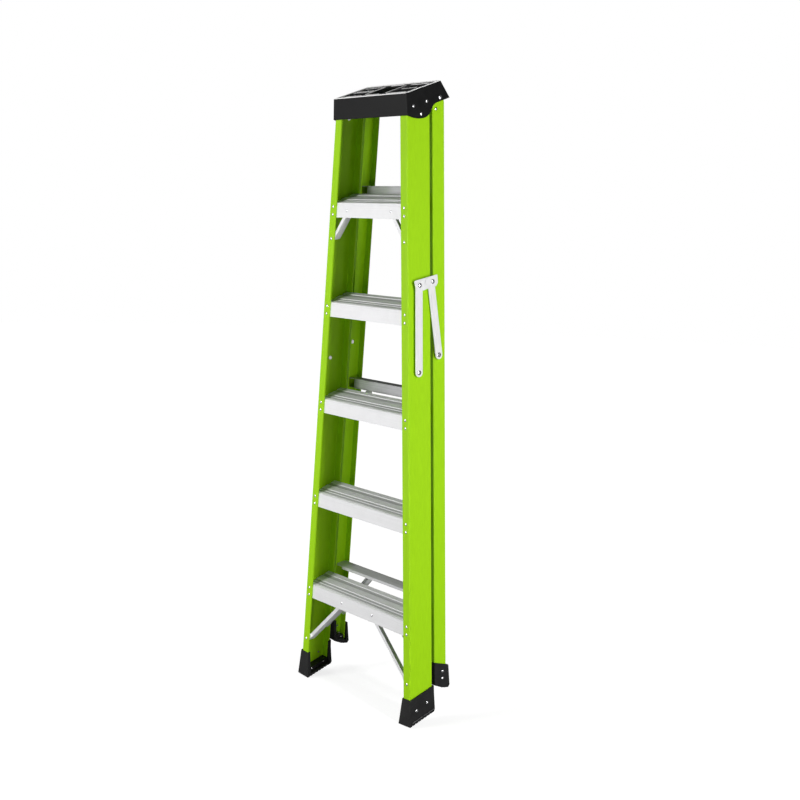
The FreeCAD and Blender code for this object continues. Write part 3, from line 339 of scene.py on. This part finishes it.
# tray on the cap: raised rim and ribs, whose near-white is a painted highlight along their edges
CF0 = (Y0 - 0.0067, Z0 + 1.5389)
CR0 = (Y0 + 0.1215, Z0 + 1.5855)
cl = math.hypot(CR0[0] - CF0[0], CR0[1] - CF0[1])
cy, cz = (CR0[0] - CF0[0]) / cl, (CR0[1] - CF0[1]) / cl


def cap_pt(x, s, lift):
    return (x, CF0[0] + s * cy - lift * cz, CF0[1] + s * cz + lift * cy)


def cap_hw(s):
    """half width of the cap's top at distance s from its front edge"""
    z = CF0[1] + s * cz
    return half_w(z) + 0.0060 / math.cos(math.atan(TAPER))


def bar_on_cap(verts, faces, a, b, wd, h):
    """a low chamfered bar on the tray from a to b, both (x, s)"""
    ax, asz = a
    bx, bs = b
    L = math.hypot(bx - ax, bs - asz)
    dx, ds = (bx - ax) / L, (bs - asz) / L
    nx, ns = -ds, dx
    base = len(verts)
    for (px, ps, e) in ((ax, asz, -1), (bx, bs, 1)):
        for off, l, ee in ((-wd, -0.0002, 0.0), (-wd * 0.6, h, 0.4), (wd * 0.6, h, 0.4), (wd, -0.0002, 0.0)):
            verts.append(cap_pt(px + nx * off - dx * e * ee * wd, ps + ns * off - ds * e * ee * wd, l))
    b0 = base
    faces += [(b0, b0 + 1, b0 + 5, b0 + 4), (b0 + 1, b0 + 2, b0 + 6, b0 + 5), (b0 + 2, b0 + 3, b0 + 7, b0 + 6),
              (b0 + 3, b0, b0 + 4, b0 + 7), (b0, b0 + 3, b0 + 2, b0 + 1), (b0 + 4, b0 + 5, b0 + 6, b0 + 7)]


def rib_highlight_mat():
    g = G("cap_rib_highlight")
    highlight_breakup = g.noise(g.mapping((300, 300, 300)), 1.0, 4.0, 0.65)
    fine = g.voronoi(g.mapping((1500, 1500, 1500)), 1.0)
    # painted highlight: near-white on the raised lines, broken to dark grey by noise
    c = g.mix(g.rng(highlight_breakup, 0.56, 0.70, 0.0, 0.7), (0.94, 0.94, 0.93), (0.16, 0.16, 0.16))
    ro = g.rng(highlight_breakup, 0.3, 0.7, 0.40, 0.60)
    return g.finish(c, ro, g.bump(fine, 0.3, 0.0002), 0.0, 0.5)


M["cap_rib_highlight"] = rib_highlight_mat()
S_F, S_R = 0.0035, cl - 0.0035
v, fc = [], []
xf, xr = cap_hw(S_F) - 0.0035, cap_hw(S_R) - 0.0035
for a, b, wd, h in (((-xf, S_F), (xf, S_F), 0.0030, 0.0022), ((-xr, S_R), (xr, S_R), 0.0018, 0.0022), ((-xf, S_F), (-xr, S_R), 0.0020, 0.0016), ((xf, S_F), (xr, S_R), 0.0030, 0.0022)):
    bar_on_cap(v, fc, a, b, wd, h)
mesh_piece("cap_rim_highlight", v, fc, M["cap_rib_highlight"], "front_frame")
# plain gauge marks moulded between the openings, near-white as a painted highlight on the ribs: no figures, no
# lettering
v, fc = [], []


def marks(x0, x1, s0, s1, step, wd, tall=5):
    k = 0
    x = x0
    while x <= x1 + 1e-9:
        far = s1 if k % tall == 0 else s0 + (s1 - s0) * 0.55
        bar_on_cap(v, fc, (x, s0), (x, far), wd, 0.0012)
        x += step
        k += 1


marks(-0.152, -0.056, 0.0125, 0.0260, 0.0055, 0.0013)
marks(-0.150, -0.056, 0.0600, 0.0700, 0.0055, 0.0013)
marks(-0.147, -0.056, 0.0725, 0.0800, 0.0080, 0.0016, 3)
marks(-0.147, -0.060, 0.1080, 0.1180, 0.0055, 0.0013)
marks(0.078, 0.140, 0.0640, 0.0745, 0.0055, 0.0012)
for a, b in (((-0.054, 0.030), (-0.054, 0.110)), ((0.044, 0.030), (0.044, 0.110)), ((0.060, 0.018), (0.150, 0.018)), ((0.066, 0.112), (0.146, 0.112)),
             ((-0.036, 0.120), (0.024, 0.120)), ((-0.036, 0.020), (0.024, 0.020))):
    bar_on_cap(v, fc, a, b, 0.0015, 0.0013)
mesh_piece("cap_rib_highlights", v, fc, M["cap_rib_highlight"], "front_frame")

# ------------------------------------------------------------------- stage
def light_world():
    w = bpy.data.worlds.new("studio")
    scene.world = w
    w.use_nodes = True
    nt = w.node_tree
    nt.nodes.clear()
    out = nt.nodes.new("ShaderNodeOutputWorld")
    a = nt.nodes.new("ShaderNodeBackground")
    a.inputs[0].default_value = (1, 1, 1, 1)
    a.inputs[1].default_value = 0.07
    b = nt.nodes.new("ShaderNodeBackground")
    b.inputs[0].default_value = (1, 1, 1, 1)
    b.inputs[1].default_value = 1.0
    lp = nt.nodes.new("ShaderNodeLightPath")
    mx = nt.nodes.new("ShaderNodeMixShader")
    nt.links.new(lp.outputs["Is Camera Ray"], mx.inputs[0])
    nt.links.new(a.outputs[0], mx.inputs[1])
    nt.links.new(b.outputs[0], mx.inputs[2])
    nt.links.new(mx.outputs[0], out.inputs[0])


light_world()


def area(name, az, el, dist, target, size, size_y, power, color=(1, 1, 1)):
    d = bpy.data.lights.new(name, "AREA")
    d.shape = "RECTANGLE"
    d.size = size
    d.size_y = size_y
    d.energy = power
    d.color = color
    o = bpy.data.objects.new(name, d)
    scene.collection.objects.link(o)
    a, e = math.radians(az), math.radians(el)
    p = Vector((math.sin(a) * math.cos(e), -math.cos(a) * math.cos(e), math.sin(e))) * dist + Vector(target)
    o.location = p
    o.rotation_euler = (Vector(target) - p).to_track_quat("-Z", "Y").to_euler()
    return o


MID = (0.0, 0.0, 1.0)
area("key_right", 86.6, 6, 3.6, MID, 0.42, 2.8, 106)
area("fill_front", -18, 11, 3.6, (0.0, 0.0, 0.76), 1.2, 2.6, 92)
area("panel_left", -52, 0, 3.6, MID, 2.0, 3.0, 15)
area("panel_back_right", 131, 4, 3.8, MID, 1.4, 2.6, 9)
area("low_right", 40, -3, 3.4, (0.0, 0.0, 0.22), 0.8, 0.7, 16)
area("top", -70, 50, 3.6, (0.0, 0.0, 0.8), 2.4, 2.4, 27)


def stage_floor():
    bm = bmesh.new()
    bmesh.ops.create_circle(bm, cap_ends=True, segments=96, radius=14.0)
    me = bpy.data.meshes.new("floor")
    bm.to_mesh(me)
    bm.free()
    ob = bpy.data.objects.new("floor", me)
    ob.location = (0, 0, -0.0005)
    scene.collection.objects.link(ob)
    mt = bpy.data.materials.new("floor_paint")
    mt.use_nodes = True
    nt = mt.node_tree
    nt.nodes.clear()
    out = nt.nodes.new("ShaderNodeOutputMaterial")
    df = nt.nodes.new("ShaderNodeBsdfDiffuse")
    df.inputs[0].default_value = (0.42, 0.42, 0.42, 1)
    em = nt.nodes.new("ShaderNodeEmission")
    em.inputs[0].default_value = (1, 1, 1, 1)
    lp = nt.nodes.new("ShaderNodeLightPath")
    mu = nt.nodes.new("ShaderNodeMath")
    mu.operation = "MULTIPLY"
    tc = nt.nodes.new("ShaderNodeTexCoord")
    ln = nt.nodes.new("ShaderNodeVectorMath")
    ln.operation = "LENGTH"
    nt.links.new(tc.outputs["Object"], ln.inputs[0])
    mr = nt.nodes.new("ShaderNodeMapRange")
    mr.inputs[1].default_value = 0.3
    mr.inputs[2].default_value = 3.5
    mr.inputs[3].default_value = 0.80
    mr.inputs[4].default_value = 1.0
    nt.links.new(ln.outputs["Value"], mr.inputs[0])
    nt.links.new(lp.outputs["Is Camera Ray"], mu.inputs[0])
    nt.links.new(mr.outputs[0], mu.inputs[1])
    nt.links.new(mu.outputs[0], em.inputs[1])
    ad = nt.nodes.new("ShaderNodeAddShader")
    nt.links.new(df.outputs[0], ad.inputs[0])
    nt.links.new(em.outputs[0], ad.inputs[1])
    nt.links.new(ad.outputs[0], out.inputs[0])
    me.materials.append(mt)


stage_floor()
